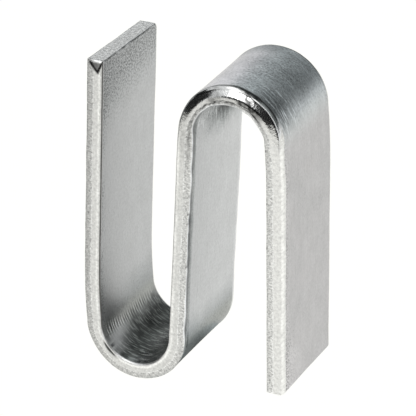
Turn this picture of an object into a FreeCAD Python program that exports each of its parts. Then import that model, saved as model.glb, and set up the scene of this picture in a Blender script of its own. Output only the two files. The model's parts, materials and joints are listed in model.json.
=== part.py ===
"""Flat S-hook: one strip of sheet metal with two opposed U bends.

Frame: millimetres, +Z up. The origin is the centre of the upper bend, midway across the strip.
X runs across the three legs, Y across the strip and Z along the middle leg.

The strip has two faces. The rolled face is where its long edges are softly rounded over, and it
is inside the lower bend and outside the upper one. The burr face is the other one. Between the
two, each long edge has a straight land and then a zone that leans inwards to the burr face, as
punched sheet has.
"""
import FreeCAD, Part
import math
import os

import Sketcher

SIZES = {
    # the strip
    "strip_thickness": 2.0,
    "strip_width": 14.0,
    "roll_depth": 0.3,          # how far the rounding reaches into the thickness
    "roll_reach": 0.9,          # how far the rounding reaches along the rolled face
    "land_depth": 0.8,          # straight part of the punched edge
    "break_lean": 0.12,         # how far the torn part of the edge leans inwards
    # the bends, with the angles that the strip turns through
    "inner_radius": 4.4,
    "lower_bend_angle": 173.7,
    "upper_bend_angle": 172.0,
    # a slight bow runs on from each bend into the free leg beside it
    "bow_radius": 80.0,
    "left_bow_angle": 5.8,
    "right_bow_angle": 4.8,
    # straight lengths
    "left_leg_length": 25.6,
    "middle_leg_length": 27.0,
    "right_leg_length": 24.7,
}
SHEET = "Sizes"
# radius of the strip's middle line round both bends
BEND_RADIUS = f"{SHEET}.inner_radius + {SHEET}.strip_thickness / 2"

START, END, CENTRE = 1, 2, 3                # the points of an edge, as a sketch numbers them
ORIGIN = (-1, START)                        # the sketch's origin
ACROSS_AXIS = -1                            # the sketch's horizontal axis


def fill_sheet(doc):
    """Put every driving dimension in the document's sheet, under its own name."""
    sheet = doc.addObject("Spreadsheet::Sheet", SHEET)
    for row, (name, value) in enumerate(SIZES.items(), start=1):
        sheet.set(f"A{row}", name)
        sheet.set(f"B{row}", str(value))
        sheet.setAlias(f"B{row}", name)
    doc.recompute()


def new_sketch(body, name, role):
    """Start a sketch on one of the body's own origin planes."""
    plane = next(item for item in body.Origin.OriginFeatures if item.Role == role)
    sketch = body.newObject("Sketcher::SketchObject", name)
    sketch.AttachmentSupport = [(plane, "")]
    sketch.MapMode = "FlatFace"
    return sketch


def constrain(sketch, *arguments):
    sketch.addConstraint(Sketcher.Constraint(*arguments))


def bind(sketch, name, expression, *arguments):
    """Add a dimension, name it and let the sheet drive it."""
    index = sketch.addConstraint(Sketcher.Constraint(*arguments))
    sketch.renameConstraint(index, name)
    sketch.setExpression(f"Constraints.{name}", expression)


def arc_about(centre, radius, first, last):
    """An arc from one angle to a larger one, in radians anticlockwise from the X axis."""
    circle = Part.Circle(centre, FreeCAD.Vector(0, 0, 1), radius)
    return Part.ArcOfCircle(circle, first, last)


def towards(angle):
    return FreeCAD.Vector(math.cos(angle), math.sin(angle), 0)


def draw_upper_path(body):
    """Middle line of the upper bend, its bow and the right leg, from the middle leg onwards."""
    sketch = new_sketch(body, "upper_path", "XZ_Plane")
    radius = SIZES["inner_radius"] + SIZES["strip_thickness"] / 2
    bend_end = math.pi - math.radians(SIZES["upper_bend_angle"])
    bow_end = bend_end - math.radians(SIZES["right_bow_angle"])
    bow_centre = (radius - SIZES["bow_radius"]) * towards(bend_end)
    leg_top = bow_centre + SIZES["bow_radius"] * towards(bow_end)
    leg_end = leg_top + SIZES["right_leg_length"] * towards(bow_end - math.pi / 2)

    bend = sketch.addGeometry(arc_about(FreeCAD.Vector(), radius, bend_end, math.pi))
    bow = sketch.addGeometry(arc_about(bow_centre, SIZES["bow_radius"], bow_end, bend_end))
    leg = sketch.addGeometry(Part.LineSegment(leg_top, leg_end))

    constrain(sketch, "Coincident", bend, CENTRE, *ORIGIN)
    constrain(sketch, "PointOnObject", bend, END, ACROSS_AXIS)
    constrain(sketch, "Tangent", bend, START, bow, END)
    constrain(sketch, "Tangent", bow, START, leg, START)
    bind(sketch, "bend_radius", BEND_RADIUS, "Radius", bend, radius)
    bind(sketch, "bow_radius", f"{SHEET}.bow_radius", "Radius", bow, SIZES["bow_radius"])
    bind(sketch, "bend_angle", f"{SHEET}.upper_bend_angle * 1 deg",
         "Angle", bend, math.radians(SIZES["upper_bend_angle"]))
    bind(sketch, "bow_angle", f"{SHEET}.right_bow_angle * 1 deg",
         "Angle", bow, math.radians(SIZES["right_bow_angle"]))
    bind(sketch, "leg_length", f"{SHEET}.right_leg_length",
         "Distance", leg, SIZES["right_leg_length"])
    return sketch


def draw_lower_path(body):
    """Middle line of the middle leg, the lower bend, its bow and the left leg, going down."""
    sketch = new_sketch(body, "lower_path", "XZ_Plane")
    radius = SIZES["inner_radius"] + SIZES["strip_thickness"] / 2
    middle_top = FreeCAD.Vector(-radius, 0, 0)
    middle_foot = FreeCAD.Vector(-radius, -SIZES["middle_leg_length"], 0)
    bend_centre = middle_foot + FreeCAD.Vector(-radius, 0, 0)
    bend_end = -math.radians(SIZES["lower_bend_angle"])
    bow_end = bend_end - math.radians(SIZES["left_bow_angle"])
    bow_centre = bend_centre + (radius - SIZES["bow_radius"]) * towards(bend_end)
    leg_foot = bow_centre + SIZES["bow_radius"] * towards(bow_end)
    leg_top = leg_foot + SIZES["left_leg_length"] * towards(bow_end - math.pi / 2)

    middle = sketch.addGeometry(Part.LineSegment(middle_top, middle_foot))
    bend = sketch.addGeometry(arc_about(bend_centre, radius, bend_end, 0))
    bow = sketch.addGeometry(arc_about(bow_centre, SIZES["bow_radius"], bow_end, bend_end))
    leg = sketch.addGeometry(Part.LineSegment(leg_foot, leg_top))

    constrain(sketch, "PointOnObject", middle, START, ACROSS_AXIS)
    constrain(sketch, "Vertical", middle)
    constrain(sketch, "Tangent", middle, END, bend, END)
    constrain(sketch, "Tangent", bend, START, bow, END)
    constrain(sketch, "Tangent", bow, START, leg, START)
    bind(sketch, "middle_place", BEND_RADIUS, "DistanceX", middle, START, *ORIGIN, radius)
    bind(sketch, "middle_length", f"{SHEET}.middle_leg_length",
         "Distance", middle, SIZES["middle_leg_length"])
    bind(sketch, "bend_radius", BEND_RADIUS, "Radius", bend, radius)
    bind(sketch, "bow_radius", f"{SHEET}.bow_radius", "Radius", bow, SIZES["bow_radius"])
    bind(sketch, "bend_angle", f"{SHEET}.lower_bend_angle * 1 deg",
         "Angle", bend, math.radians(SIZES["lower_bend_angle"]))
    bind(sketch, "bow_angle", f"{SHEET}.left_bow_angle * 1 deg",
         "Angle", bow, math.radians(SIZES["left_bow_angle"]))
    bind(sketch, "leg_length", f"{SHEET}.left_leg_length",
         "Distance", leg, SIZES["left_leg_length"])
    return sketch


def draw_section(body):
    """Cross-section of the strip, drawn across the top of the middle leg.

    The rolled face is on the left. Each punched edge goes from it round the rounding, along the
    land and down the leaning zone to the burr face.
    """
    sketch = new_sketch(body, "strip_section", "XY_Plane")
    half_width = SIZES["strip_width"] / 2
    rolled_x = -SIZES["inner_radius"] - SIZES["strip_thickness"]
    burr_x = -SIZES["inner_radius"]
    land_x = rolled_x + SIZES["roll_depth"]
    break_x = land_x + SIZES["land_depth"]
    rolled_y = half_width - SIZES["roll_reach"]
    burr_y = half_width - SIZES["break_lean"]
    # a circle that leaves the rolled face smoothly and meets the start of the land
    roll_radius = (SIZES["roll_reach"] ** 2 + SIZES["roll_depth"] ** 2) / (2 * SIZES["roll_depth"])
    roll_angle = math.asin(SIZES["roll_reach"] / roll_radius)

    def point(x, y):
        return FreeCAD.Vector(x, y, 0)

    def roll_arc(side):
        centre = point(rolled_x + roll_radius, side * rolled_y)
        if side < 0:
            return arc_about(centre, roll_radius, math.pi, math.pi + roll_angle)
        return arc_about(centre, roll_radius, math.pi - roll_angle, math.pi)

    front_roll = sketch.addGeometry(roll_arc(-1))
    front_land = sketch.addGeometry(Part.LineSegment(point(land_x, -half_width),
                                                     point(break_x, -half_width)))
    front_break = sketch.addGeometry(Part.LineSegment(point(break_x, -half_width),
                                                      point(burr_x, -burr_y)))
    burr_face = sketch.addGeometry(Part.LineSegment(point(burr_x, -burr_y),
                                                    point(burr_x, burr_y)))
    back_break = sketch.addGeometry(Part.LineSegment(point(burr_x, burr_y),
                                                     point(break_x, half_width)))
    back_land = sketch.addGeometry(Part.LineSegment(point(break_x, half_width),
                                                    point(land_x, half_width)))
    back_roll = sketch.addGeometry(roll_arc(1))
    rolled_face = sketch.addGeometry(Part.LineSegment(point(rolled_x, rolled_y),
                                                      point(rolled_x, -rolled_y)))

    constrain(sketch, "Tangent", rolled_face, END, front_roll, START)
    constrain(sketch, "Coincident", front_roll, END, front_land, START)
    constrain(sketch, "Coincident", front_land, END, front_break, START)
    constrain(sketch, "Coincident", front_break, END, burr_face, START)
    constrain(sketch, "Coincident", burr_face, END, back_break, START)
    constrain(sketch, "Coincident", back_break, END, back_land, START)
    constrain(sketch, "Coincident", back_land, END, back_roll, START)
    constrain(sketch, "Tangent", back_roll, END, rolled_face, START)
    constrain(sketch, "Horizontal", front_land)
    # the two long edges mirror each other
    constrain(sketch, "Symmetric", rolled_face, START, rolled_face, END, ACROSS_AXIS)
    constrain(sketch, "Symmetric", front_land, START, back_land, END, ACROSS_AXIS)
    constrain(sketch, "Symmetric", front_land, END, back_land, START, ACROSS_AXIS)
    constrain(sketch, "Symmetric", burr_face, START, burr_face, END, ACROSS_AXIS)

    bind(sketch, "burr_face_place", f"{SHEET}.inner_radius",
         "DistanceX", burr_face, START, *ORIGIN, SIZES["inner_radius"])
    bind(sketch, "thickness", f"{SHEET}.strip_thickness",
         "DistanceX", rolled_face, END, burr_face, START, SIZES["strip_thickness"])
    bind(sketch, "roll_depth", f"{SHEET}.roll_depth",
         "DistanceX", rolled_face, END, front_land, START, SIZES["roll_depth"])
    bind(sketch, "land_depth", f"{SHEET}.land_depth",
         "DistanceX", front_land, START, front_land, END, SIZES["land_depth"])
    bind(sketch, "width", f"{SHEET}.strip_width",
         "DistanceY", front_land, END, back_land, START, SIZES["strip_width"])
    bind(sketch, "rolled_width", f"{SHEET}.strip_width - 2 * {SHEET}.roll_reach",
         "DistanceY", rolled_face, END, rolled_face, START, 2 * rolled_y)
    bind(sketch, "burr_width", f"{SHEET}.strip_width - 2 * {SHEET}.break_lean",
         "DistanceY", burr_face, START, burr_face, END, 2 * burr_y)
    return sketch


def sweep(body, name, section, path):
    """Sweep the strip's section along one of the two paths."""
    pipe = body.newObject("PartDesign::AdditivePipe", name)
    pipe.Profile = section
    pipe.Spine = (path, [f"Edge{number}" for number in range(1, path.GeometryCount + 1)])
    body.Tip = pipe
    return pipe


def make_hook_strip(doc):
    """The whole hook, a single bent strip."""
    body = doc.addObject("PartDesign::Body", "hook_strip")
    body.Label = "hook_strip"
    section = draw_section(body)
    upper_path = draw_upper_path(body)
    lower_path = draw_lower_path(body)
    doc.recompute()
    sweep(body, "upper_half", section, upper_path)
    doc.recompute()
    sweep(body, "lower_half", section, lower_path)
    doc.recompute()
    body.Placement = FreeCAD.Placement()
    return body


def section_area():
    """Area of the strip's cross-section, worked out by hand from the sheet's sizes."""
    roll_radius = (SIZES["roll_reach"] ** 2 + SIZES["roll_depth"] ** 2) / (2 * SIZES["roll_depth"])
    roll_angle = math.asin(SIZES["roll_reach"] / roll_radius)
    # corner outside one rounding: its box, less the circle's share of that box
    under_arc = roll_radius ** 2 * (roll_angle - math.sin(roll_angle) * math.cos(roll_angle)) / 2
    roll_corner = SIZES["roll_depth"] * SIZES["roll_reach"] - under_arc
    break_depth = SIZES["strip_thickness"] - SIZES["roll_depth"] - SIZES["land_depth"]
    break_corner = break_depth * SIZES["break_lean"] / 2
    return SIZES["strip_thickness"] * SIZES["strip_width"] - 2 * (roll_corner + break_corner)


def path_length():
    bend = SIZES["inner_radius"] + SIZES["strip_thickness"] / 2
    turned = math.radians(SIZES["lower_bend_angle"] + SIZES["upper_bend_angle"])
    bowed = math.radians(SIZES["left_bow_angle"] + SIZES["right_bow_angle"])
    straight = SIZES["left_leg_length"] + SIZES["middle_leg_length"] + SIZES["right_leg_length"]
    return straight + bend * turned + SIZES["bow_radius"] * bowed


def check(doc, bodies):
    """Stop if anything failed quietly."""
    for item in doc.Objects:
        if "Invalid" in item.State or "Error" in item.State:
            raise RuntimeError(f"{item.Name} failed: {item.State}")
    for body in bodies:
        if body.Shape.isNull() or not body.Shape.isValid() or len(body.Shape.Solids) != 1:
            raise RuntimeError(f"{body.Label} isn't one good solid")
    expected = section_area() * path_length()
    found = bodies[0].Shape.Volume
    print(f"volume {found:.1f} mm3, section times length {expected:.1f} mm3")
    if abs(found - expected) > 0.01 * expected:
        raise RuntimeError("the swept volume is wrong")


def main():
    doc = FreeCAD.newDocument("flat_s_hook")
    fill_sheet(doc)
    bodies = [make_hook_strip(doc)]
    check(doc, bodies)
    os.makedirs("parts", exist_ok=True)
    for body in bodies:
        body.Shape.exportStep(f"parts/{body.Label}.step")


main()
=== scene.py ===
"""Looks of the flat S-hook: one bent strip of bare metal with punched edges, on a white table.

Everything is in metres in the CAD's own frame. The strip is rebuilt as a fine mesh along the same
middle line as the CAD solid, with the details that punching and bending leave on the metal.
"""
import json
import math

import bpy
import numpy as np
from mathutils import Matrix, Vector


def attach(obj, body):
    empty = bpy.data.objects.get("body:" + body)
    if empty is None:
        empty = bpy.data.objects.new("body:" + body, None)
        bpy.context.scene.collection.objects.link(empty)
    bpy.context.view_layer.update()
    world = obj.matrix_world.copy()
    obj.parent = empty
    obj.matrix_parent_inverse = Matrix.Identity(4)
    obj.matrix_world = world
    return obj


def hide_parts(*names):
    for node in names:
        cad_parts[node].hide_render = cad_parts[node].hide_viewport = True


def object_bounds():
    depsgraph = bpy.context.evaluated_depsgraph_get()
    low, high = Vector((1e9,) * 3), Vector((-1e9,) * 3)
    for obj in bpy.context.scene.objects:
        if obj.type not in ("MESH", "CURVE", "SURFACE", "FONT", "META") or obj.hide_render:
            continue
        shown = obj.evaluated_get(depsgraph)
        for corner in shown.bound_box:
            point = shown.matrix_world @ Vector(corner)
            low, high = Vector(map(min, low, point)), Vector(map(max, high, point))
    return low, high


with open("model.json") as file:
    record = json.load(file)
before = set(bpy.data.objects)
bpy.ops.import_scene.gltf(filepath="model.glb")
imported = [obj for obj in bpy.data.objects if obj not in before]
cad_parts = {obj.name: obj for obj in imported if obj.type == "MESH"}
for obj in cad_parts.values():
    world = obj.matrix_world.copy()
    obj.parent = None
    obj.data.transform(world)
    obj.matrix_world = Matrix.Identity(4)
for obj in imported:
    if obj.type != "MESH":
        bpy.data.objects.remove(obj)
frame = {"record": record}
CAD_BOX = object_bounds()

MM = 0.001
LOW, HIGH = CAD_BOX
CENTRE = (LOW + HIGH) / 2
MOUNTS = {mount["name"]: mount for mount in frame["record"]["mounts"]}
UPPER, LOWER = MOUNTS["upper_hook"], MOUNTS["lower_hook"]

# the strip, in millimetres, worked out from the frame
INNER_RADIUS = UPPER["dims"]["r_mm"]
THICKNESS = (LOWER["pos_m"][2] - LOW.z) / MM - INNER_RADIUS
HALF_WIDTH = (HIGH.y - LOW.y) / MM / 2
MIDDLE_LENGTH = (UPPER["pos_m"][2] - LOWER["pos_m"][2]) / MM
BEND_RADIUS = INNER_RADIUS + THICKNESS / 2

# the strip's middle line beyond the middle leg, in millimetres and degrees
LOWER_BEND_ANGLE, UPPER_BEND_ANGLE = 173.7, 172.0
BOW_RADIUS = 80.0
LEFT_BOW_ANGLE, RIGHT_BOW_ANGLE = 5.8, 4.8
LEFT_LEG_LENGTH, RIGHT_LEG_LENGTH = 25.6, 24.7

# the punched edge, in millimetres
ROLL_DEPTH = 0.3
ROLL_REACHES = (0.22, 0.24, 0.8, 0.95)  # at the two ends of the lower bend, then of the upper one
LAND_DEPTH = 0.8
BREAK_LEAN = 0.12
BACK_ROLL_REACHES = (0.26, 0.35, 0.5, 0.3)
BURR_HEIGHT, BURR_REACH = 0.07, 0.22
BURR_FLOOR = 0.01               # the least height, before the shares in the next line
BURR_ELSEWHERE, BURR_MIDDLE_GAIN = 0.25, 1.15   # what shows everywhere, what the middle leg adds
BEVEL_DEPTH, BEVEL_REACH = 0.2, 0.7     # the pressed strip beside the middle leg's burr
BURNISHED_GAIN = 0.3            # how much deeper the land reaches at the upper bend
TEAR_STEP = 0.03                # how far in from the land the torn zone starts
TORN_ROUGHNESS = 0.012
FRONT_SEED, BACK_SEED = 11, 41

# mesh spacing along the strip, in millimetres
LEG_STEP, BEND_STEP, END_STEP = 0.25, 0.16, 0.06
END_ZONE = 1.8                  # finely divided length at each cut end
FACE_POINTS = 36                # across each face, between its edges
FACE_CROWDING = 0.11            # how much closer together they are near the edges


# ---------------------------------------------------------------- noise and easing

def soft_noise(seed, along, across, cell_along, cell_across):
    """Smooth random values from -1 to 1 that change over about one cell each way."""
    table_size = 256
    table = np.random.default_rng(seed).uniform(-1, 1, (table_size, table_size))
    u, v = np.broadcast_arrays(np.asarray(along) / cell_along, np.asarray(across) / cell_across)
    column, row = np.floor(u).astype(int), np.floor(v).astype(int)
    fraction_u, fraction_v = u - column, v - row
    ease_u = fraction_u ** 2 * (3 - 2 * fraction_u)
    ease_v = fraction_v ** 2 * (3 - 2 * fraction_v)

    def corner(step_u, step_v):
        return table[(column + step_u) % table_size, (row + step_v) % table_size]

    near = corner(0, 0) * (1 - ease_u) + corner(1, 0) * ease_u
    far = corner(0, 1) * (1 - ease_u) + corner(1, 1) * ease_u
    return near * (1 - ease_v) + far * ease_v


def ease(value, start, stop):
    """0 before start, 1 after stop and smooth between them."""
    share = np.clip((value - start) / (stop - start), 0, 1)
    return share ** 2 * (3 - 2 * share)


def gauss(value, middle, width):
    """1 at the middle and about a third one width away from it."""
    return np.exp(-((value - middle) / width) ** 2)


# ---------------------------------------------------------------- the strip's middle line

class MiddleLine:
    """Straight runs and arcs in the XZ plane, from the left leg's top to the right leg's end.

    Each run is (length, curvature), and curvature is positive to the left of the way travelled.
    """

    def __init__(self):
        bend, bow = 1 / BEND_RADIUS, 1 / BOW_RADIUS
        self.runs = [
            (LEFT_LEG_LENGTH, 0.0),
            (BOW_RADIUS * math.radians(LEFT_BOW_ANGLE), bow),
            (BEND_RADIUS * math.radians(LOWER_BEND_ANGLE), bend),
            (MIDDLE_LENGTH, 0.0),
            (BEND_RADIUS * math.radians(UPPER_BEND_ANGLE), -bend),
            (BOW_RADIUS * math.radians(RIGHT_BOW_ANGLE), -bow),
            (RIGHT_LEG_LENGTH, 0.0),
        ]
        self.starts = np.cumsum([0.0] + [length for length, _ in self.runs])
        self.length = self.starts[-1]
        self.lower_bend = (self.starts[2], self.starts[3])
        self.upper_bend = (self.starts[4], self.starts[5])
        headings = np.cumsum([0.0] + [length * turn for length, turn in self.runs])
        # the middle leg goes straight up, and its top is beside the upper bend's centre
        self.headings = headings - headings[3] + math.pi / 2
        self.corners = [np.zeros(2)]
        for number in range(len(self.runs)):
            self.corners.append(self.corners[-1] + self.moved(number, self.runs[number][0]))
        middle_top = np.array([UPPER["pos_m"][0] / MM - BEND_RADIUS, UPPER["pos_m"][2] / MM])
        shift = middle_top - self.corners[4]
        self.corners = [corner + shift for corner in self.corners]

    def moved(self, number, distance):
        """How far a run gets from its start over some distance, as (x, z)."""
        heading, turn = self.headings[number], self.runs[number][1]
        if turn == 0:
            step = np.array([math.cos(heading), math.sin(heading)])
            return np.multiply.outer(np.asarray(distance), step)
        ahead = heading + np.asarray(distance) * turn
        return np.stack([np.sin(ahead) - math.sin(heading),
                         math.cos(heading) - np.cos(ahead)], axis=-1) / turn

    def at(self, along):
        """Places (x, z) and headings at distances along the line."""
        place, heading = np.zeros((len(along), 2)), np.zeros(len(along))
        run_of = np.clip(np.searchsorted(self.starts, along, side="right") - 1,
                         0, len(self.runs) - 1)
        for number in range(len(self.runs)):
            here = run_of == number
            distance = along[here] - self.starts[number]
            place[here] = self.corners[number] + self.moved(number, distance)
            heading[here] = self.headings[number] + distance * self.runs[number][1]
        return place, heading

    def bend_at(self, along, softness=0.9):
        """-1 in the upper bend, 1 in the lower one, 0 on the legs, fading over the softness."""
        def inside(span):
            entering = ease(along, span[0] - softness, span[0] + softness)
            leaving = ease(along, span[1] - softness, span[1] + softness)
            return entering - leaving
        return inside(self.lower_bend) - inside(self.upper_bend)

    def stations(self):
        """Distances at which the mesh has a ring: close together in bends and at the ends."""
        marks = [0.0]
        while marks[-1] < self.length:
            here = marks[-1]
            from_end = min(here, self.length - here)
            bent = abs(self.bend_at(np.array([here]))[0])
            step = LEG_STEP + (BEND_STEP - LEG_STEP) * bent
            if from_end < END_ZONE:
                step = END_STEP
            marks.append(here + step)
        marks[-1] = self.length
        if marks[-1] - marks[-2] < END_STEP / 2:
            del marks[-2]
        return np.array(marks)


# ---------------------------------------------------------------- the strip's cross-section

ROLL_POINTS, LAND_POINTS, TORN_POINTS, BURR_POINTS = 9, 7, 10, 5
EDGE_POINTS = ROLL_POINTS + LAND_POINTS + TORN_POINTS + BURR_POINTS


def edge_shape(line, along, seed, reaches, pressed):
    """Depth and inset of one long edge's points at every station, in millimetres.

    Depth is measured from the rolled face and inset from the strip's widest line.
    """
    column = along[:, None]

    def uneven(number, amount, cell):
        """The amount, more or less, changing over about one cell along the strip."""
        return amount * soft_noise(seed + number, column, 0, cell, 1)

    reach = np.interp(column, line.lower_bend + line.upper_bend, reaches)
    reach = reach * (1 + uneven(0, 0.10, 3.0) + uneven(10, 0.10, 0.6))
    depth = ROLL_DEPTH * (1 + uneven(1, 0.12, 2.2))
    land_end = ROLL_DEPTH + LAND_DEPTH + BURNISHED_GAIN * np.clip(-line.bend_at(column, 2.5), 0, 1)
    land_end = land_end + uneven(2, 0.06, 0.8) + uneven(3, 0.03, 0.3)
    lean = BREAK_LEAN * (1 + uneven(4, 0.35, 1.9))
    # the burr is tall and wavy on the middle leg, and nearly gone elsewhere
    tall = ease(column, line.lower_bend[1] - 3, line.lower_bend[1] + 2)
    tall = pressed * tall * (1 - ease(column, line.upper_bend[1] - 2, line.upper_bend[1] + 2))
    burr = BURR_HEIGHT * (1 + uneven(5, 0.9, 3.0) + uneven(8, 0.5, 1.1))
    burr = np.maximum(burr, BURR_FLOOR) * (BURR_ELSEWHERE + BURR_MIDDLE_GAIN * tall)
    bevel = BEVEL_DEPTH * tall * (1 + uneven(9, 0.5, 2.6))

    turn = np.linspace(0, math.pi / 2, ROLL_POINTS)
    depths = [depth * (1 - np.cos(turn))]
    insets = [reach * (1 - np.sin(turn))]
    share = np.linspace(0, 1, LAND_POINTS + 1)[1:]
    depths.append(depth + (land_end - depth) * share)
    insets.append(np.zeros((len(along), LAND_POINTS)))
    share = np.linspace(0, 1, TORN_POINTS + 1)[1:]
    torn_depth = land_end + (THICKNESS - bevel - land_end) * share
    chatter = soft_noise(seed + 6, column, torn_depth, 0.28, 0.5)
    pits = soft_noise(seed + 7, column, torn_depth, 0.5, 0.35)
    rough = (TORN_ROUGHNESS * chatter + TORN_ROUGHNESS * pits) * np.sin(math.pi * share)
    depths.append(torn_depth)
    insets.append(TEAR_STEP * ease(share, 0, 0.15) + (lean - TEAR_STEP) * share + rough)
    share = np.linspace(0, 1, BURR_POINTS + 1)[1:]
    wave = np.sin(math.pi * share) * (1 - share) * 2
    depths.append(THICKNESS - bevel * (1 - share) + burr * wave)
    insets.append(lean + (BURR_REACH + BEVEL_REACH * tall) * share ** (1 + tall))
    return side_by_side(depths, len(along)), side_by_side(insets, len(along))


def side_by_side(parts, count):
    """Join arrays of points, giving each one row per station."""
    return np.concatenate([np.broadcast_to(part, (count, part.shape[1])) for part in parts], axis=1)


EDGE_ZONES = (["roll"] * ROLL_POINTS + ["land"] * LAND_POINTS
              + ["torn"] * TORN_POINTS + ["burr"] * BURR_POINTS)
# where each line along the edge lies, counted in points from the rolled face; the first is a
# painted dark reflection line
DARK_LINE_AT, CORNER_AT = 3.0, ROLL_POINTS
TEAR_AT, CREST_AT = ROLL_POINTS + LAND_POINTS, ROLL_POINTS + LAND_POINTS + TORN_POINTS

# how far the metal at a bend draws in where it is stretched, and bulges where it is squeezed
DRAW_IN, BULGE = 0.15, 0.15
CREST_DRAW_IN = 0.46            # the front edge of the upper bend is drawn in more than the rest
SIDE_SOFTNESS = 1.6             # how gradually that starts and stops along the strip
SIDE_REACH = 1.3                # how far from the edge that is felt, in millimetres
RIM_LIFT = 0.05                 # the edges also curl slightly away from the bend's centre
# the upper bend is a little wider at the back: its top is raised there by this much, and lowered
# as much at the front
CROWN_TILT = 0.19
HOLLOW_DEPTH, HOLLOW_CELL, HOLLOW_SEED = 0.02, (6.0, 7.0), 71

# the lip at the left leg's front corner, where the metal folded over as it was cut
LIP_HEIGHT, LIP_SLOPE, LIP_TIP = 1.4, 0.22, 0.55
LIP_EDGE = (-0.02, 0.08)        # over which distance inside its outline the lip is raised
# the lip's painted shadow: a dark line along its outline, and painted shade over the lip but for
# its top
LIP_SHADOW_WIDTH = 0.24             # the dark line along that outline
LIP_SHADE, LIP_SHADE_FROM = 0.72, (0.14, 0.3)   # the lip is dark, but for its top
CORNER_BREAK, CORNER_REACH, CORNER_FROM = 0.4, 0.6, 5.6     # its back corner is knocked off


def side_shift(bend, depth, inset, front):
    """How far a bend moves a point towards the strip's middle."""
    stretch = -bend * (THICKNESS / 2 - depth) / (THICKNESS / 2)
    draw_in = np.where((bend < 0) & front, CREST_DRAW_IN, DRAW_IN)
    amount = np.where(stretch > 0, draw_in * stretch, BULGE * stretch)
    return amount * np.exp(-inset / SIDE_REACH)


def lip_outline(depth):
    """How far down the lip reaches at each depth: a triangle with its tip near the rolled face."""
    rising = np.clip(depth / LIP_TIP, 0, 1)
    falling = np.clip((THICKNESS - depth) / (THICKNESS - LIP_TIP), 0, 1)
    return LIP_HEIGHT * np.minimum(rising, falling)


def ring_points(line, along):
    """Every ring of the strip's skin, as places, and what each point is.

    A ring starts at the back of the rolled face, crosses it to the front edge, and comes back
    along the burr face and the back edge.
    """
    count = len(along)
    bend = line.bend_at(along)[:, None]
    front_depth, front_inset = edge_shape(line, along, FRONT_SEED, ROLL_REACHES, 1.0)
    back_depth, back_inset = edge_shape(line, along, BACK_SEED, BACK_ROLL_REACHES, 0.25)

    # the two faces, from edge to edge
    share = (np.arange(FACE_POINTS) + 1) / (FACE_POINTS + 1)
    share = share - FACE_CROWDING * np.sin(2 * math.pi * share)
    rolled_back = HALF_WIDTH - back_inset[:, :1]
    rolled_front = -HALF_WIDTH + front_inset[:, :1]
    rolled_side = rolled_back + (rolled_front - rolled_back) * share
    burr_front = -HALF_WIDTH + front_inset[:, -1:]
    burr_back = HALF_WIDTH - back_inset[:, -1:]
    burr_side = burr_front + (burr_back - burr_front) * share

    ones = np.ones((count, FACE_POINTS))
    depth = np.concatenate([0 * ones, front_depth, THICKNESS * ones, back_depth[:, ::-1]], axis=1)
    across = np.concatenate([rolled_side, -HALF_WIDTH + front_inset,
                             burr_side, HALF_WIDTH - back_inset[:, ::-1]], axis=1)
    zones = (["rolled"] * FACE_POINTS + EDGE_ZONES + ["burr_face"] * FACE_POINTS
             + EDGE_ZONES[::-1])

    # bends push the side edges in or out
    inset = HALF_WIDTH - np.abs(across)
    soft_bend = line.bend_at(along, SIDE_SOFTNESS)[:, None]
    across = across - np.sign(across) * side_shift(soft_bend, depth, inset, across < 0)
    lift = RIM_LIFT * np.abs(bend) * np.exp(-inset / SIDE_REACH)
    # the upper bend is slightly conical
    crown = np.clip((along - line.upper_bend[0]) / (line.upper_bend[1] - line.upper_bend[0]), 0, 1)
    lift = lift + CROWN_TILT * np.sin(math.pi * crown[:, None]) * across / HALF_WIDTH
    # broad hollows left by the press, too shallow to see except in the shine
    column = along[:, None]
    wave = HOLLOW_DEPTH * soft_noise(HOLLOW_SEED, column, across, *HOLLOW_CELL)

    # the folded lip at the front corner of the left leg's end
    front = np.zeros(len(zones), bool)
    front[FACE_POINTS:FACE_POINTS + EDGE_POINTS] = True
    reach = lip_outline(depth)
    on_lip = front[None, :] * ease(reach - column, *LIP_EDGE)
    across = across - LIP_SLOPE * column * on_lip
    knocked = np.clip(1 - column / CORNER_REACH, 0, 1) ** 1.6
    across = across - CORNER_BREAK * knocked * ease(across, CORNER_FROM, HALF_WIDTH)
    # painted shadow under the lip's outline, and painted shade over the lip but for its top
    painted_lip_shadow = front[None, :] * gauss(column, reach + 0.02, LIP_SHADOW_WIDTH) * ease(reach, 0.05, 0.5)
    shaded = LIP_SHADE * on_lip * ease(column, *LIP_SHADE_FROM)
    painted_lip_shadow = np.clip(1.3 * painted_lip_shadow + shaded, 0, 1)

    place, heading = line.at(along)
    side_x, side_z = -np.sin(heading)[:, None], np.cos(heading)[:, None]
    outward = np.where(bend > 0, -1.0, 1.0)
    off_middle = THICKNESS / 2 - depth + wave + outward * lift
    points = np.stack([place[:, :1] + side_x * off_middle, across,
                       place[:, 1:] + side_z * off_middle], axis=-1)
    return points, depth, across, painted_lip_shadow, zones


# ---------------------------------------------------------------- wear marks, painted shade and painted highlights
#
# Distances are in millimetres. A bend's share is 0 where the strip enters it and 1 where it
# leaves it. The factor before a term says how strongly it shows. Where the shade-and-dull mark
# is above 0 the metal is darker, with painted shade and with duller patches at random, and where
# it is below 0 it is lighter, with painted light.

FACE_PLACES = [-99] * FACE_POINTS       # a face's points are far from every line on the edges
EDGE_PLACES = (FACE_PLACES + list(range(EDGE_POINTS)) + FACE_PLACES
               + list(range(EDGE_POINTS))[::-1])
MARKS = ("painted_shade_and_dull", "cool", "speckle", "strokes", "hatch", "rubs", "dark_lines_and_painted_shade", "painted_glint")
PATCH_SEEDS, BROKEN_SEEDS, NICK_SEEDS = (201, 202), (203, 204), (205, 206)
CUT_SEED, MOTTLE_SEED = 207, 208


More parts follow.
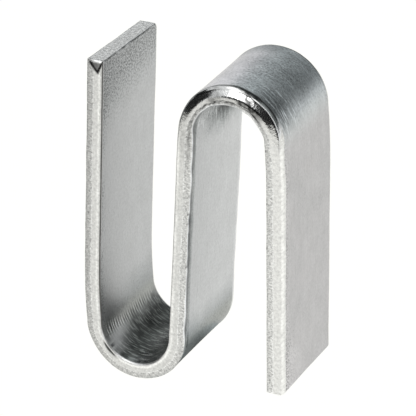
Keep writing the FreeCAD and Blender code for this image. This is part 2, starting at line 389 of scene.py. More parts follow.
class Skin:
    """Where the skin's points lie, and the masks that several wear marks and painted shade marks
    share.

    An array has a row for each station and a column for each point of a ring, or spreads to that.
    """

    def __init__(self, line, along, across, zones):
        column, zones = along[:, None], np.array(zones)[None, :]
        self.lower_start, self.lower_end = line.lower_bend
        self.upper_start, self.upper_end = line.upper_bend
        self.length = line.length
        self.column, self.across = column, across
        self.from_front = across + HALF_WIDTH
        self.front_side = across < 0
        self.edge_at = np.array(EDGE_PLACES)[None, :]
        self.rolled, self.burr_face = zones == "rolled", zones == "burr_face"
        self.patches = (0.6 * soft_noise(PATCH_SEEDS[0], column, across, 2.6, 2.2)
                        + 0.4 * soft_noise(PATCH_SEEDS[1], column, across, 0.9, 0.8))
        self.lower_share = (column - self.lower_start) / (self.lower_end - self.lower_start)
        self.upper_share = (column - self.upper_start) / (self.upper_end - self.upper_start)
        self.left_leg = self.rolled & (column < self.lower_start + 1)
        self.right_leg = ease(column, self.upper_end - 2, self.upper_end + 2)
        self.outside = self.rolled * np.clip(-line.bend_at(column, 1.8), 0, 1)
        self.on_top = ease(self.upper_share, 0.1, 0.3) * (1 - ease(self.upper_share, 0.75, 1.0))
        self.with_burr = (ease(column, self.lower_end - 2, self.lower_end)
                          * (1 - ease(column, self.upper_end - 3, self.upper_end)))
        self.in_lower = (ease(column, self.lower_start + 1, self.lower_start + 3)
                         * (1 - ease(column, self.lower_end - 3, self.lower_end)))
        # where the lower bend's rim gets a painted dark reflection dash
        self.painted_rim_reflection = gauss(column, self.lower_start + 3.8, 1.1) * self.front_side


def mark_left_leg(skin, marks):
    """The left leg's face: speckled at its top and beside its front edge, with painted shade at its
    top and painted light at its foot.
    """
    column, from_front, patches = skin.column, skin.from_front, skin.patches
    top = 1 - ease(column + 0.25 * from_front + 1.5 * patches, 3.0, 12.0)
    fringe = gauss(from_front, 0, 1.3) * (0.6 + 0.5 * patches)
    foot = ease(column + 1.2 * patches, skin.lower_start - 4, skin.lower_start + 0.5)
    light_foot = foot * (0.04 + 0.12 * gauss(from_front, 0, 2.5))
    # painted shade darkens the top, and painted light lightens the foot
    marks["painted_shade_and_dull"] += skin.left_leg * (0.16 * top + 0.10 * fringe - light_foot)
    marks["speckle"] += skin.left_leg * (np.clip(0.9 * top + 0.8 * fringe, 0, 1) + 0.3 * foot)


def mark_lower_bend(skin, marks):
    """Inside the lower bend: dark with painted shade and drawn, with a row of short strokes where
    it begins.
    """
    column, from_front, patches = skin.column, skin.from_front, skin.patches
    share, lower_start, lower_end = skin.lower_share, skin.lower_start, skin.lower_end
    inside = skin.rolled * ease(column, lower_start - 0.5, lower_start + 2.5)
    inside = inside * (1 - ease(column, lower_end, lower_end + 4))
    deep = ease(share + 0.03 * np.minimum(from_front, 6.5), 0.22, 0.53)
    near_rim = gauss(from_front, 0, 3.6) * ease(share, 0.36, 0.54)
    entry_rim = gauss(from_front, 0, 2.5) * (1 - ease(share, 0.2, 0.4))
    # painted shade deep in the bend, less near its rim, and painted light at the rim where it
    # begins; the patches are random tone
    marks["painted_shade_and_dull"] += inside * (-0.06 - 0.20 * entry_rim + (0.77 - 0.83 * near_rim) * deep
                               + 0.20 * patches)
    # painted shade: the leg darkens towards the bend from higher up at its back
    back_foot = ease(column, lower_start - 5, lower_start + 1) * (1 - ease(share, 0.12, 0.32))
    back_foot = skin.rolled * back_foot * ease(from_front, 2.5, 9.5) * (column < lower_end)

    stroke_line = lower_start + 1.5 + 0.05 * from_front + 0.5 * patches
    strokes = skin.rolled * gauss(column, stroke_line, 0.72) * ease(from_front, 0.4, 1.3)
    strokes = strokes * (1 - ease(from_front, 9.5, 12)) * (1 + 0.7 * gauss(from_front, 1.4, 1.8))
    marks["painted_shade_and_dull"] += 0.40 * back_foot + 0.06 * strokes
    marks["strokes"] += strokes
    marks["hatch"] += inside * ease(share + 0.02 * from_front, 0.22, 0.42) * (0.75 + 0.5 * patches)
    marks["speckle"] += 0.7 * inside * ease(share, 0.35, 0.55)


def mark_upper_bend(skin, marks):
    """Outside the upper bend: painted light and shade over it, hatched beside the front edge past
    its top.
    """
    from_front, share = skin.from_front, skin.upper_share
    near_front = gauss(from_front, 0, 4.2)
    past_top = ease(share, 0.60, 0.76) * (1 - ease(share, 0.88, 1.02))
    rising = 1 - ease(share, 0.05, 0.32)
    crown = gauss(share, 0.42, 0.16) * ease(from_front, 3, 9)
    light_rim = gauss(share, 0.63, 0.07) * gauss(from_front, 1.5, 2.5)
    dark_back = ease(from_front, 10, 13.4) * (1 - ease(share, 0.45, 0.7))
    # painted light where it rises and at the rim past its top, painted shade on the crown, at the
    # back and beside the front edge past the top; the patches are random tone
    marks["painted_shade_and_dull"] += skin.outside * (-0.14 + 0.14 * skin.patches
                                     + past_top * (0.18 * near_front + 0.03)
                                     - 0.22 * rising + 0.12 * crown
                                     - 0.30 * light_rim + 0.42 * dark_back)
    beyond_crown = ease(share, 0.35, 0.6)
    faint_lines = 0.03 + 0.12 * beyond_crown * (1 - ease(share, 0.8, 1.0))
    marks["hatch"] += skin.outside * (faint_lines + 0.8 * near_front * past_top)
    marks["speckle"] += skin.outside * (0.30 + 0.35 * beyond_crown * (1 - ease(share, 0.7, 0.95)))


def mark_burr_face(skin, marks):
    """The middle leg's burr face: painted shade beside the burr, under the upper bend and at its
    foot, and a hatched painted shade patch at its top.
    """
    column, from_front, patches = skin.column, skin.from_front, skin.patches
    lower_start, lower_end = skin.lower_start, skin.lower_end
    upper_start, upper_end, burr_face = skin.upper_start, skin.upper_end, skin.burr_face
    middle = burr_face & (column > lower_end - 1) & (column < upper_start + 1)
    beside = middle * (1 - ease(from_front + 0.25 * patches, 1.0, 1.3))
    on_burr = ease(skin.edge_at, CREST_AT + 1.5, CREST_AT + 2.5)
    beside = beside + skin.with_burr * skin.front_side * on_burr
    # painted shade under the upper bend, also speckled, hatched and rubbed, starting a little
    # higher near the front
    under = ease(column - 2.0 * gauss(from_front, 1, 4) + 1.2 * patches,
                 upper_start - 3.5, upper_start + 1)
    under = burr_face * under * (1 - ease(column, upper_end - 2, upper_end + 3))
    hatched_shade_patch = burr_face * gauss(column, upper_start + 0.8, 1.9) * gauss(from_front, 8.4, 3.2)
    foot = 1 - ease(column + patches, lower_end - 1.5, lower_end + 3.5)
    foot = burr_face * foot * ease(column, lower_start, lower_start + 6)
    # all this darkening is painted shade; the patches add random tone
    marks["painted_shade_and_dull"] += (beside * (0.34 + 0.30 * ease(column, upper_start - 7, upper_start - 1))
                      + under * (0.22 + 0.16 * patches + 0.08 * ease(from_front, 8, 13))
                      + 0.75 * hatched_shade_patch * (1 + 0.6 * patches) + foot * (0.46 + 0.2 * patches))
    marks["speckle"] += 0.5 * beside + 0.8 * under + 0.4 * foot
    marks["hatch"] += 0.5 * hatched_shade_patch + 0.35 * under
    marks["rubs"] += burr_face * (0.25 + 1.6 * under)


def mark_right_leg(skin, marks):
    """The right leg's outer face: light and speckled beside its front edge and at its end."""
    leg = skin.rolled * skin.right_leg
    fringe = gauss(skin.from_front, 0.6, 1.2)
    end_corner = ease(skin.column, skin.length - 10, skin.length - 2)
    end_corner = skin.rolled * end_corner * gauss(skin.from_front, 1.0, 4.0)
    marks["painted_shade_and_dull"] += leg * (0.05 * skin.patches + 0.03 - 0.09 * fringe) - 0.17 * end_corner
    marks["speckle"] += 0.8 * leg * fringe + 0.5 * end_corner
    marks["rubs"] += 0.3 * leg


def mark_everywhere(skin, marks):
    """Scuffs on both faces, and the cooler colour of the left leg and the upper bend."""
    scuffs = np.clip(skin.patches + 0.1, 0, 1) * (skin.rolled | skin.burr_face)
    marks["speckle"] += 0.30 * scuffs
    marks["cool"] += 0.45 * skin.left_leg + skin.outside * ease(skin.upper_share, 0.42, 0.64)


def mark_painted_glints(skin, marks):
    """Painted highlights: bright lines on the front edge's corners, broken up as on worn metal."""
    column, edge_at, right_leg = skin.column, skin.edge_at, skin.right_leg
    broken = (0.65 + 0.6 * soft_noise(BROKEN_SEEDS[0], column, skin.across, 0.7, 5)
              + 0.5 * soft_noise(BROKEN_SEEDS[1], column, skin.across, 0.25, 5))
    rim = gauss(edge_at, CORNER_AT, 1.1) * (1 - right_leg)
    rim = rim + 1.3 * gauss(edge_at, 4, 1.6) * right_leg
    painted_glint = rim * broken * (1 - 0.7 * skin.on_top) + gauss(edge_at, TEAR_AT, 0.6) * broken
    painted_glint = painted_glint + 0.8 * gauss(edge_at, CORNER_AT - 1, 1.4) * skin.in_lower * (1 - skin.painted_rim_reflection)
    painted_glint = painted_glint + 0.35 * right_leg * (edge_at >= 0)
    painted_glint = painted_glint + gauss(edge_at, CREST_AT, 1.0) * skin.with_burr * (0.5 + 0.5 * broken)
    marks["painted_glint"] += skin.front_side * painted_glint


def mark_dark_lines_and_painted_shade(skin, marks):
    """Dark along the edges: painted reflection at the faces' start and rims, painted shadow by the
    burr, darker torn zone and nicks.
    """
    column, across, edge_at = skin.column, skin.across, skin.edge_at
    lower_start, lower_end = skin.lower_start, skin.lower_end
    mottled = 1 + soft_noise(MOTTLE_SEED, column, edge_at, 0.3, 2.0)
    on_left = 1 - ease(column, lower_start - 0.5, lower_start + 2.0)
    # painted dark reflection lines on the roll of the left leg and over the upper bend, and a
    # painted reflection dash at the lower bend's rim
    marks["dark_lines_and_painted_shade"] += 1.2 * gauss(edge_at, DARK_LINE_AT, 1.5) * on_left
    marks["dark_lines_and_painted_shade"] += 1.4 * gauss(edge_at, DARK_LINE_AT - 2, 1.1) * skin.on_top
    marks["dark_lines_and_painted_shade"] += 2.4 * gauss(edge_at, CORNER_AT - 0.5, 1.5) * skin.painted_rim_reflection
    marks["dark_lines_and_painted_shade"] += upper_edge_painted_reflection(skin, mottled)

    tear_zone = gauss(edge_at, (TEAR_AT + CREST_AT) / 2, 5.0) * (edge_at > TEAR_AT)
    before_middle = 1 - ease(column, lower_start, lower_end)
    marks["dark_lines_and_painted_shade"] += tear_zone * (0.09 * skin.right_leg + 0.17 * before_middle
                                  + 0.40 * over_top(skin) * mottled)
    nicks = (soft_noise(NICK_SEEDS[0], column, across, 0.8, 5)
             * soft_noise(NICK_SEEDS[1], column, across, 0.25, 5))
    marks["dark_lines_and_painted_shade"] += 0.8 * gauss(edge_at, CREST_AT - 1, 1.5) * ease(nicks, 0.25, 0.45)
    left_extra = 0.10 * (1 - ease(column, lower_start - 3, lower_start))
    marks["dark_lines_and_painted_shade"] += gauss(edge_at, CREST_AT, 3.5) * (1 - skin.with_burr) * (0.14 + left_extra)
    # painted shadow beside the middle leg's burr crest
    marks["dark_lines_and_painted_shade"] += 0.8 * gauss(edge_at, CREST_AT + 2, 1.0) * skin.with_burr * skin.front_side
    # broken dark dashes beside the lower bend's rim and along the left leg's cut
    dashes = gauss(skin.from_front, 0.4, 0.5) * ease(nicks, -0.1, 0.25)
    marks["dark_lines_and_painted_shade"] += 0.8 * skin.rolled * skin.in_lower * dashes
    cut_line = gauss(column, 0.1, 0.12) * ease(soft_noise(CUT_SEED, across, 0, 0.5, 5), -0.3, 0.3)
    marks["dark_lines_and_painted_shade"] += 0.75 * skin.rolled * cut_line


def over_top(skin):
    """1 over the upper bend's start and top, fading in over the middle leg's top quarter."""
    return ease(skin.upper_share, -0.40, 0.0) * (1 - ease(skin.upper_share, 0.75, 1.0))


def upper_edge_painted_reflection(skin, mottled):
    """Painted reflection on the front edge over the upper bend: greyed, dimmed and darkened in
    turn.
    """
    edge_at, share = skin.edge_at, skin.upper_share
    on_torn = (edge_at > TEAR_AT - 1) & (edge_at < CREST_AT)
    on_land = (edge_at > CORNER_AT) & (edge_at <= TEAR_AT)
    above_tear = (edge_at > 1) & (edge_at <= TEAR_AT)
    greyed = 0.15 * over_top(skin) * (1 - ease(share, 0.05, 0.2)) * on_land
    torn = 0.36 * gauss(share, 0.40, 0.16) * on_torn
    painted_dim_reflection = gauss(share, 0.38, 0.09) + 1.7 * gauss(share, 0.62, 0.07)
    painted_dim_reflection = 0.36 * (painted_dim_reflection + 1.5 * gauss(share, 0.69, 0.035)) * above_tear
    painted_dark_reflection = 0.8 * gauss(share, 0.75, 0.06) * (0.7 + 0.3 * mottled)
    painted_dark_reflection = painted_dark_reflection * (edge_at > CORNER_AT + 2) * (edge_at < CREST_AT - 4)
    return skin.front_side * ((greyed + torn + painted_dim_reflection) * mottled + painted_dark_reflection)


def wear_and_shade_marks(line, along, across, zones):
    """How strongly each mark shows at every point of the skin, by the mark's name."""
    skin = Skin(line, along, across, zones)
    marks = {name: np.zeros(across.shape) for name in MARKS}
    for add_marks in (mark_left_leg, mark_lower_bend, mark_upper_bend, mark_burr_face,
                      mark_right_leg, mark_everywhere, mark_painted_glints, mark_dark_lines_and_painted_shade):
        add_marks(skin, marks)
    for name in ("speckle", "dark_lines_and_painted_shade", "painted_glint"):
        marks[name] = np.clip(marks[name], 0, 1)
    return marks


def wrap_distance(points):
    """Distance round each ring from its first point, in millimetres, the same on every ring."""
    ring = points[len(points) // 2]
    steps = np.linalg.norm(np.diff(ring, axis=0, append=ring[:1]), axis=1)
    return np.concatenate([[0.0], np.cumsum(steps)[:-1]])


# ---------------------------------------------------------------- the mesh

RIM_BREAK = 0.07                # how far the cut ends' rims are worn round, in millimetres
END_ROUGHNESS = 0.035
LEFT_END_SEED, RIGHT_END_SEED = 81, 91


def cap_grid(ring):
    """The ring's points laid out as a grid over the cut end, with its inside filled in.

    Rows go from the rolled face to the burr face and columns from front to back.
    """
    rolled = ring[:FACE_POINTS][::-1]
    front = ring[FACE_POINTS:FACE_POINTS + EDGE_POINTS]
    burr = ring[FACE_POINTS + EDGE_POINTS:2 * FACE_POINTS + EDGE_POINTS]
    back = ring[2 * FACE_POINTS + EDGE_POINTS:][::-1]
    share = np.linspace(0, 1, EDGE_POINTS)[:, None, None]
    inside = rolled[None] * (1 - share) + burr[None] * share
    return np.concatenate([front[:, None], inside, back[:, None]], axis=1)


def ring_numbers():
    """The numbers of a ring's points, in cap_grid's layout. Inside points are -1."""
    numbers = np.arange(2 * (FACE_POINTS + EDGE_POINTS))
    grid = np.full((EDGE_POINTS, FACE_POINTS + 2), -1)
    grid[0, 1:-1] = numbers[:FACE_POINTS][::-1]
    grid[:, 0] = numbers[FACE_POINTS:FACE_POINTS + EDGE_POINTS]
    grid[-1, 1:-1] = numbers[FACE_POINTS + EDGE_POINTS:2 * FACE_POINTS + EDGE_POINTS]
    grid[:, -1] = numbers[2 * FACE_POINTS + EDGE_POINTS:][::-1]
    return grid


def add_cap(points, faces, marks, ring, first, outward, seed):
    """Close one end with a grid of faces. outward is the way that the end faces."""
    grid = cap_grid(ring)
    numbers = ring_numbers()
    inside = numbers < 0
    rows = np.nonzero(inside)[0]
    new = grid[inside]
    deep = rows * THICKNESS / EDGE_POINTS
    rough = soft_noise(seed, new[:, 1], deep, 0.45, 0.35)
    rough = rough + 0.7 * soft_noise(seed + 1, new[:, 1], deep, 0.2, 0.2)
    new = new + outward * (END_ROUGHNESS * (rough + 0.4))[:, None]
    start = sum(len(part) for part in points)
    points.append(new)
    numbers = numbers + first
    numbers[inside] = start + np.arange(len(new))
    corners = [numbers[:-1, :-1], numbers[:-1, 1:], numbers[1:, 1:], numbers[1:, :-1]]
    quads = np.stack(corners, axis=-1).reshape(-1, 4)
    faces.append(quads[:, ::-1] if first else quads)
    marks.append(np.stack([new[:, 1], deep, np.zeros(len(new))], axis=-1))


def worn_rims(points, along, length):
    """Pull the last rings in a little, so that the cut ends' rims aren't razor sharp."""
    from_end = np.minimum(along, length - along)
    share = 1 - np.clip(from_end / RIM_BREAK / 2, 0, 1)
    pull = RIM_BREAK * (1 - np.sqrt(np.clip(1 - share ** 2, 0, 1)))
    middle = points.mean(axis=1, keepdims=True)
    away = middle - points
    reach = np.linalg.norm(away, axis=-1, keepdims=True)
    # towards the strip's middle plane and its middle line, by the same amount each way
    return points + away / reach * pull[:, None, None] * np.minimum(1.0, reach)


def make_strip_mesh(line):
    """The strip's skin, closed at both ends, with the marks that its material reads."""
    along = line.stations()
    points, depth, across, painted_lip_shadow, zones = ring_points(line, along)
    points = worn_rims(points, along, line.length)
    rings, size = points.shape[:2]

    numbers = np.arange(rings * size).reshape(rings, size)
    beside = np.roll(numbers, -1, axis=1)
    quads = np.stack([numbers[:-1], beside[:-1], beside[1:], numbers[1:]], axis=-1)
    quads = quads.reshape(-1, 4)

    all_points, faces, marks = [points.reshape(-1, 3)], [quads], []
    wrap = wrap_distance(points)
    marks.append(np.stack(np.broadcast_arrays(along[:, None], wrap[None, :], 0.0),
                          axis=-1).reshape(-1, 3))
    ways = [points[0].mean(axis=0) - points[2].mean(axis=0),
            points[-1].mean(axis=0) - points[-3].mean(axis=0)]
    ways = [way / np.linalg.norm(way) for way in ways]
    add_cap(all_points, faces, marks, points[0], 0, ways[0], LEFT_END_SEED)
    last_ring = (rings - 1) * size
    add_cap(all_points, faces, marks, points[-1], last_ring, ways[1], RIGHT_END_SEED)

    vertices = np.concatenate(all_points) * MM
    mesh = bpy.data.meshes.new("hook_strip_skin")
    mesh.from_pydata(vertices.tolist(), [], np.concatenate(faces).tolist())
    mesh.validate()
    mesh.update()
    wear_and_painted_light = dict(wear_and_shade_marks(line, along, across, zones), painted_lip_shadow=painted_lip_shadow)
    write_marks(mesh, line, along, zones, wear_and_painted_light, np.concatenate(marks), rings * size)
    mesh.polygons.foreach_set("use_smooth", np.ones(len(mesh.polygons), bool))
    return mesh


def write_marks(mesh, line, along, zones, wear_and_painted_light, strip_place, skin_count):
    """Attributes the material reads: where a point is on the strip, what made it, painted light and
    shade.
    """
    count = len(mesh.vertices)

    def write(name, skin_values, cap_value):
        values = np.full(count, cap_value, np.float32)
        values[:skin_count] = np.broadcast_to(skin_values, (len(along), len(zones))).ravel()
        layer = mesh.attributes.new(name, "FLOAT", "POINT")
        layer.data.foreach_set("value", values)

    zones = np.array(zones)
    bend = line.bend_at(along)[:, None]
    write("land", (zones == "land") | (zones == "roll"), 0)
    write("torn", zones == "torn", 0)
    write("rolled", zones == "rolled", 0)
    write("burr", zones == "burr", 0)
    write("cut_end", 0, 1)
    write("lower_bend", np.clip(bend, 0, 1), 0)
    write("upper_bend", np.clip(-bend, 0, 1), 0)
    for name, amount in wear_and_painted_light.items():
        write(name, amount, 0)
    layer = mesh.attributes.new("strip_place", "FLOAT_VECTOR", "POINT")
    layer.data.foreach_set("vector", strip_place.astype(np.float32).ravel())


# ---------------------------------------------------------------- materials

BLACK = (0.0, 0.0, 0.0, 1.0)
TABLE_GLOW = (1.03, 1.03, 1.0, 1.0)      # an evenly lit table, a little warm in the shine


class Nodes:
    """Short calls for building a material's nodes."""

    def __init__(self, name):
        self.material = bpy.data.materials.new(name)
        self.material.use_nodes = True
        self.tree = self.material.node_tree
        self.shader = self.tree.nodes["Principled BSDF"]

    def link(self, source, socket):
        if isinstance(source, (int, float, tuple)):
            socket.default_value = source
        else:
            self.tree.links.new(source, socket)

    def mark(self, name):
        node = self.tree.nodes.new("ShaderNodeAttribute")
        node.attribute_name = name
        return node.outputs["Vector" if name == "strip_place" else "Fac"]

    def marks(self, *names):
        return [self.mark(name) for name in names]

    def maths(self, operation, first, second=0.0, third=0.0):
        node = self.tree.nodes.new("ShaderNodeMath")
        node.operation = operation
        for value, socket in zip((first, second, third), node.inputs):
            self.link(value, socket)
        return node.outputs[0]

    def add(self, *values):
        total = values[0]
        for value in values[1:]:
            total = self.maths("ADD", total, value)
        return total

    def times(self, *values):
        product = values[0]
        for value in values[1:]:
            product = self.maths("MULTIPLY", product, value)
        return product

    def rest(self, value):
        """What is left of 1."""
        return self.maths("SUBTRACT", 1.0, value)

    def stretch(self, vector, scale):
        node = self.tree.nodes.new("ShaderNodeVectorMath")
        node.operation = "MULTIPLY"
        self.link(vector, node.inputs[0])
        node.inputs[1].default_value = scale
        return node.outputs[0]

    def noise(self, vector, scale, detail=2.0, roughness=0.5):
        """Noise centred on 0, about -1 to 1. scale is in repeats a millimetre."""
        node = self.tree.nodes.new("ShaderNodeTexNoise")
        node.inputs["Scale"].default_value = 1.0
        node.inputs["Detail"].default_value = detail
        node.inputs["Roughness"].default_value = roughness
        self.link(self.stretch(vector, scale), node.inputs["Vector"])
        return self.maths("MULTIPLY_ADD", node.outputs["Fac"], 4.0, -2.0)

    def blend(self, share, first, second):
        node = self.tree.nodes.new("ShaderNodeMix")
        node.data_type = "RGBA"
        self.link(share, node.inputs[0])
        self.link(first, node.inputs[6])
        self.link(second, node.inputs[7])
        return node.outputs[2]

    def between(self, value, start, stop):
        """0 before start, 1 after stop."""
        node = self.tree.nodes.new("ShaderNodeMapRange")
        node.interpolation_type = "SMOOTHSTEP"
        self.link(value, node.inputs["Value"])
        node.inputs["From Min"].default_value = start
        node.inputs["From Max"].default_value = stop
        return node.outputs["Result"]

    def parts(self, vector):
        node = self.tree.nodes.new("ShaderNodeSeparateXYZ")
        self.link(vector, node.inputs[0])
        return node.outputs


# how light the metal is, as a share of white: its faces, what the other parts add, and what painted
# highlights add
FACE_TONE, BURR_FACE_GAIN, BURR_GAIN = 0.50, 0.07, 0.12
TORN_GAIN, LAND_GAIN, PAINTED_GLINT_GAIN = 0.16, 0.165, 0.26
DARKEST = 0.02
# tints of red, green and blue
ROLLED_TINT, BURR_FACE_TINT = (1.0, 0.985, 1.0, 1.0), (0.985, 1.0, 1.015, 1.0)
COOL_TINT, EDGE_TINT = (0.95, 1.0, 1.015, 1.0), (1.0, 1.0, 0.98, 1.0)
LOWER_TINT, LOWER_TINT_SHARE = (0.98, 1.0, 0.96, 1.0), 0.6
# the tints of darkened places, painted shade and duller patches alike, elsewhere and in the lower
# bend
DARKENED_TINT, DARKENED_LOWER_TINT = (0.93, 1.0, 1.01, 1.0), (0.97, 1.01, 0.95, 1.0)
ROUGHNESS, SMOOTHEST = 0.36, 0.08
COMB_RATE = 12.5                # radians a millimetre, for the lower bend's row of strokes


def strip_textures(n, place):
    """Noise over the strip, by name. Scales are repeats a millimetre along and round it."""
    textures = {
        "grain": n.noise(place, (2.8, 2.8, 1.0), 3.0, 0.65),
        "fine": n.noise(place, (4.2, 4.2, 1.0), 2.0, 0.5),
        "blotches": n.noise(place, (0.35, 0.5, 1.0), 3.0, 0.55),
        "rubbing": n.noise(place, (0.16, 2.6, 1.0), 3.0, 0.6),
        "drawn": n.noise(place, (0.6, 3.5, 1.0), 2.0, 0.5),
        "chatter": n.noise(place, (5.0, 3.4, 1.0), 3.0, 0.7),
        "pits": n.noise(place, (3.0, 3.0, 1.0), 3.0, 0.65),
    }
    uneven = n.noise(place, (0.5, 1.4, 1.0), 2.0, 0.5)
    comb = n.maths("SINE", n.add(n.times(COMB_RATE, n.parts(place)["Y"]), n.times(1.3, uneven)))
    ragged = n.noise(place, (0.5, 3.2, 1.0), 1.0, 0.5)
    textures["comb"] = n.add(comb, n.times(0.5, ragged))
    return textures


def strip_material():
    """Bare metal: satin faces, burnished and torn edge zones, drawn marks in the bends, and painted
    shade and highlights.
    """
    n = Nodes("bare_strip_metal")
    land, torn, cut_end, rolled, burr = n.marks("land", "torn", "cut_end", "rolled", "burr")
    painted_shade_and_dull, speckle, painted_lip_shadow, strokes = n.marks("painted_shade_and_dull", "speckle", "painted_lip_shadow", "strokes")
    hatch, rubs, dark_lines_and_painted_shade, painted_glint = n.marks("hatch", "rubs", "dark_lines_and_painted_shade", "painted_glint")
    lower_bend, upper_bend, cool = n.marks("lower_bend", "upper_bend", "cool")
    edge = n.maths("MAXIMUM", land, torn)
    face = n.rest(n.maths("MAXIMUM", edge, cut_end))
    texture = strip_textures(n, n.mark("strip_place"))
    grain, fine, blotches = texture["grain"], texture["fine"], texture["blotches"]
    rubbing, drawn, comb = texture["rubbing"], texture["drawn"], texture["comb"]
    chatter, pits = texture["chatter"], texture["pits"]

    # colour: grey metal, brighter where it was sheared, with painted highlights along the edges
    burr_face = n.maths("SUBTRACT", face, rolled)
    tone = n.add(FACE_TONE, n.times(burr, BURR_GAIN), n.times(burr_face, BURR_FACE_GAIN),
                 n.times(torn, TORN_GAIN), n.times(land, LAND_GAIN), n.times(painted_glint, PAINTED_GLINT_GAIN))
    tone = n.times(tone, n.add(1.0, n.times(face, 0.10, blotches), n.times(face, 0.12, grain),
                               n.times(torn, 0.52, chatter), n.times(torn, 0.22, pits),
                               n.times(land, 0.24, pits), n.times(cut_end, 0.55, pits)))
    dots = n.between(n.add(fine, n.times(speckle, 0.5)), 0.2, 0.8)
    dotted = n.times(face, speckle, n.add(n.times(0.60, dots), -0.09))
    lines = n.add(n.times(hatch, 1.6, n.add(n.between(drawn, -0.1, 0.7), -0.36)),
                  n.times(strokes, 1.1, n.add(n.between(comb, -0.4, 0.9), -0.38)),
                  n.times(rubs, 0.16, rubbing))
    # painted shade and duller patches, dots, the painted lip shadow and the painted dark lines
    # darken the tone
    tone = n.times(tone, n.rest(n.times(face, painted_shade_and_dull)), n.rest(dotted),
                   n.add(1.0, n.times(face, lines)),
                   n.rest(n.times(painted_lip_shadow, 0.97)), n.rest(n.times(dark_lines_and_painted_shade, 0.93)))
    tint = n.blend(rolled, BURR_FACE_TINT, ROLLED_TINT)
    tint = n.blend(cool, tint, COOL_TINT)
    tint = n.blend(n.times(lower_bend, LOWER_TINT_SHARE), tint, LOWER_TINT)
    # painted shade and duller patches take the darkened tints
    darkened = n.maths("MINIMUM", n.times(painted_shade_and_dull, 1.4), 1.0)
    tint = n.blend(darkened, tint, n.blend(lower_bend, DARKENED_TINT, DARKENED_LOWER_TINT))
    tint = n.blend(n.maths("MAXIMUM", edge, cut_end), tint, EDGE_TINT)
    tinted = n.tree.nodes.new("ShaderNodeVectorMath")
    tinted.operation = "SCALE"
    n.link(tint, tinted.inputs[0])
    n.link(n.maths("MAXIMUM", tone, DARKEST), tinted.inputs["Scale"])
    n.link(tinted.outputs[0], n.shader.inputs["Base Color"])

    rough = n.add(ROUGHNESS, n.times(face, 0.05, blotches), n.times(torn, 0.20),
                  n.times(cut_end, 0.14), n.times(land, upper_bend, -0.22),
                  n.times(painted_lip_shadow, 0.3), n.times(face, 0.10, speckle, dots))
    n.link(n.maths("MAXIMUM", rough, SMOOTHEST), n.shader.inputs["Roughness"])

    # relief too fine for the mesh, in millimetres
    height = n.add(n.times(face, 0.006, grain), n.times(face, 0.002, fine),
                   n.times(torn, 0.022, chatter), n.times(torn, 0.010, pits),
                   n.times(cut_end, 0.024, pits), n.times(land, 0.004, pits),
                   n.times(face, hatch, 0.010, drawn), n.times(face, strokes, 0.008, comb),
                   n.times(face, rubs, 0.003, rubbing))
    bump = n.tree.nodes.new("ShaderNodeBump")
    bump.inputs["Strength"].default_value = 1.0
    bump.inputs["Distance"].default_value = MM
    n.link(height, bump.inputs["Height"])
    n.link(bump.outputs[0], n.shader.inputs["Normal"])
    n.shader.inputs["Metallic"].default_value = 1.0
    return n.material


def plain_material(name, colour, roughness, glow=BLACK):
    n = Nodes(name)
    n.shader.inputs["Base Color"].default_value = colour
    n.shader.inputs["Emission Color"].default_value = glow
    n.shader.inputs["Emission Strength"].default_value = 1.0
    n.shader.inputs["Roughness"].default_value = roughness
    n.shader.inputs["Specular IOR Level"].default_value = 0.0
    return n.material


# ---------------------------------------------------------------- stage

FLOOR_SIZE = 3.0
TABLE_DROP = 0.15               # millimetres below the solid, to clear the bend's bulged edges
CAMERA_AZIMUTH, CAMERA_ELEVATION, CAMERA_ROLL = (math.radians(a) for a in (24.22, 26.11, 2.51))
CAMERA_LENS, SENSOR_WIDTH, CAMERA_DISTANCE = 224.7, 36.0, 0.303
CLIP_START, CLIP_END = 0.01, 10.0
CAMERA_AIM = CENTRE + Vector((-0.46, 0.0, 0.88)) * MM
WORLD_COLOUR = (1.0, 1.02, 1.04, 1.0)
# each light's azimuth and elevation in degrees, distance and size in metres, and power in watts
LIGHTS = {
    "top_light": ((0, 80), 0.5, 0.5, 1.2),
    "front_light": ((190, 28), 0.4, 0.14, 0.35),
}


def make_floor():
    level = LOW.z - TABLE_DROP * MM
    bpy.ops.mesh.primitive_plane_add(size=FLOOR_SIZE, location=(CENTRE.x, CENTRE.y, level))
    floor = bpy.context.object
    floor.name = "table_top"
    floor.data.materials.append(plain_material("white_table", BLACK, 1.0, TABLE_GLOW))


FLAG_RADIUS, FLAG_STEPS = 0.15, 24
CARD_TINT = (0.92, 1.0, 1.02)
# the dark patch under the hook: discs that get smaller and darker upwards, in millimetres
SHADE_SHIFT, SHADE_DROP, SHADE_STEP = (4.0, 1.0), 0.13, 0.01
SHADE_SIZES, SHADE_LIGHTNESS = ((11.0, 8.0), (6.0, 5.0)), (0.70, 0.42)
SHADE_DISCS, SHADE_RIM_STEPS = 7, 48
# dark and grey cards round the hook: first and last direction in degrees clockwise from +Y seen
# from above, lowest and highest elevation in degrees, and how light the card is
FLAGS = {
    "back": (-4, 82, 14, 36, 0.13),
    "back_high": (-4, 82, 36, 76, 0.24),
    "back_left": (-26, -4, 12, 60, 0.36),
    "right_high": (100, 174, 18, 50, 0.012),
    "front_left": (219, 300, -7.5, 34, 0.012),
    "front_right": (120, 205, 4, 20, 0.010),
}


def make_flag(name, first, last, foot, top, lightness):
    """A card on part of a cylinder round the hook, to darken what the metal reflects."""
    low, high = (FLAG_RADIUS * math.tan(math.radians(angle)) for angle in (foot, top))
    points, faces = [], []
    for step in range(FLAG_STEPS + 1):
        angle = math.radians(first + (last - first) * step / FLAG_STEPS)
        x, y = CENTRE.x + FLAG_RADIUS * math.sin(angle), FLAG_RADIUS * math.cos(angle)
        points += [(x, y, CENTRE.z + low), (x, y, CENTRE.z + high)]
        if step:
            last_point = len(points) - 1
            faces.append((last_point - 3, last_point - 1, last_point, last_point - 2))
    add_card(name, points, faces, lightness)


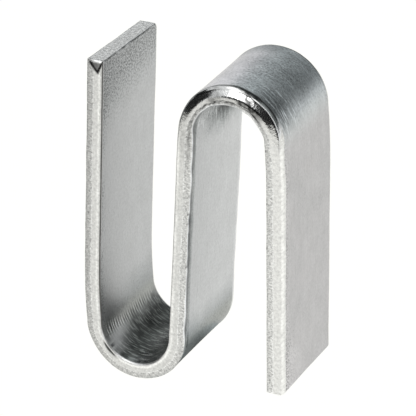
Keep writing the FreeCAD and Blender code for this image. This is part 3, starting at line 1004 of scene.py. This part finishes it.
def make_shade():
    """The dark patch that the hook stands over, seen only in the metal's shine."""
    x, y = LOWER["pos_m"][0] + SHADE_SHIFT[0] * MM, SHADE_SHIFT[1] * MM
    rim = [2 * math.pi * step / SHADE_RIM_STEPS for step in range(SHADE_RIM_STEPS)]
    outer, inner = (Vector(size) * MM for size in SHADE_SIZES)
    for disc in range(SHADE_DISCS):
        share = disc / (SHADE_DISCS - 1)
        size = outer.lerp(inner, share)
        level = LOW.z - (SHADE_DROP - SHADE_STEP * disc) * MM
        points = [(x + size[0] * math.cos(turn), y + size[1] * math.sin(turn), level)
                  for turn in rim]
        lightness = SHADE_LIGHTNESS[0] + (SHADE_LIGHTNESS[1] - SHADE_LIGHTNESS[0]) * share
        add_card(f"table_shade_{disc}", points, [list(range(len(rim)))], lightness)


def add_card(name, points, faces, lightness):
    """A surface that only shows in the metal's shine."""
    mesh = bpy.data.meshes.new(name)
    mesh.from_pydata(points, [], faces)
    card = bpy.data.objects.new(name, mesh)
    bpy.context.scene.collection.objects.link(card)
    colour = tuple(lightness * part for part in CARD_TINT) + (1.0,)
    card.data.materials.append(plain_material(name + "_card", colour, 1.0))
    card.visible_camera = card.visible_diffuse = card.visible_shadow = False
    card.visible_transmission = card.visible_volume_scatter = False


def make_light(name, direction, distance, size, power):
    """A square soft light that points at the hook. direction is azimuth and elevation."""
    azimuth, elevation = (math.radians(angle) for angle in direction)
    away = Vector((math.sin(azimuth) * math.cos(elevation),
                   math.cos(azimuth) * math.cos(elevation), math.sin(elevation)))
    data = bpy.data.lights.new(name, "AREA")
    data.shape, data.size, data.energy = "SQUARE", size, power
    lamp = bpy.data.objects.new(name, data)
    lamp.location = CENTRE + away * distance
    lamp.rotation_mode = "QUATERNION"
    lamp.rotation_quaternion = away.to_track_quat("Z", "Y")
    bpy.context.scene.collection.objects.link(lamp)


def make_world():
    world = bpy.data.worlds.new("studio")
    bpy.context.scene.world = world
    world.use_nodes = True
    background = world.node_tree.nodes["Background"]
    background.inputs["Color"].default_value = WORLD_COLOUR
    background.inputs["Strength"].default_value = 1.0


def make_camera():
    data = bpy.data.cameras.new("camera")
    data.lens, data.sensor_width = CAMERA_LENS, SENSOR_WIDTH
    azimuth, elevation = CAMERA_AZIMUTH, CAMERA_ELEVATION
    back = Vector((math.sin(azimuth) * math.cos(elevation),
                   -math.cos(azimuth) * math.cos(elevation), math.sin(elevation)))
    level_right = Vector((math.cos(azimuth), math.sin(azimuth), 0.0))
    level_up = back.cross(level_right)
    right = level_right * math.cos(CAMERA_ROLL) + level_up * math.sin(CAMERA_ROLL)
    up = back.cross(right)
    turn = Matrix((right, up, back)).transposed()
    camera = bpy.data.objects.new("camera", data)
    camera.matrix_world = Matrix.Translation(CAMERA_AIM + back * CAMERA_DISTANCE) @ turn.to_4x4()
    data.clip_start, data.clip_end = CLIP_START, CLIP_END
    bpy.context.scene.collection.objects.link(camera)
    bpy.context.scene.camera = camera


# ---------------------------------------------------------------- build

def build():
    line = MiddleLine()
    strip = bpy.data.objects.new("bent_strip", make_strip_mesh(line))
    bpy.context.scene.collection.objects.link(strip)
    strip.data.materials.append(strip_material())
    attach(strip, "root")
    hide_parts("hook_strip")

    make_floor()
    make_world()
    for name, card in FLAGS.items():
        make_flag(name + "_flag", *card)
    make_shade()
    for name, settings in LIGHTS.items():
        make_light(name, *settings)
    make_camera()
    bpy.context.scene.view_settings.view_transform = "Standard"


build()
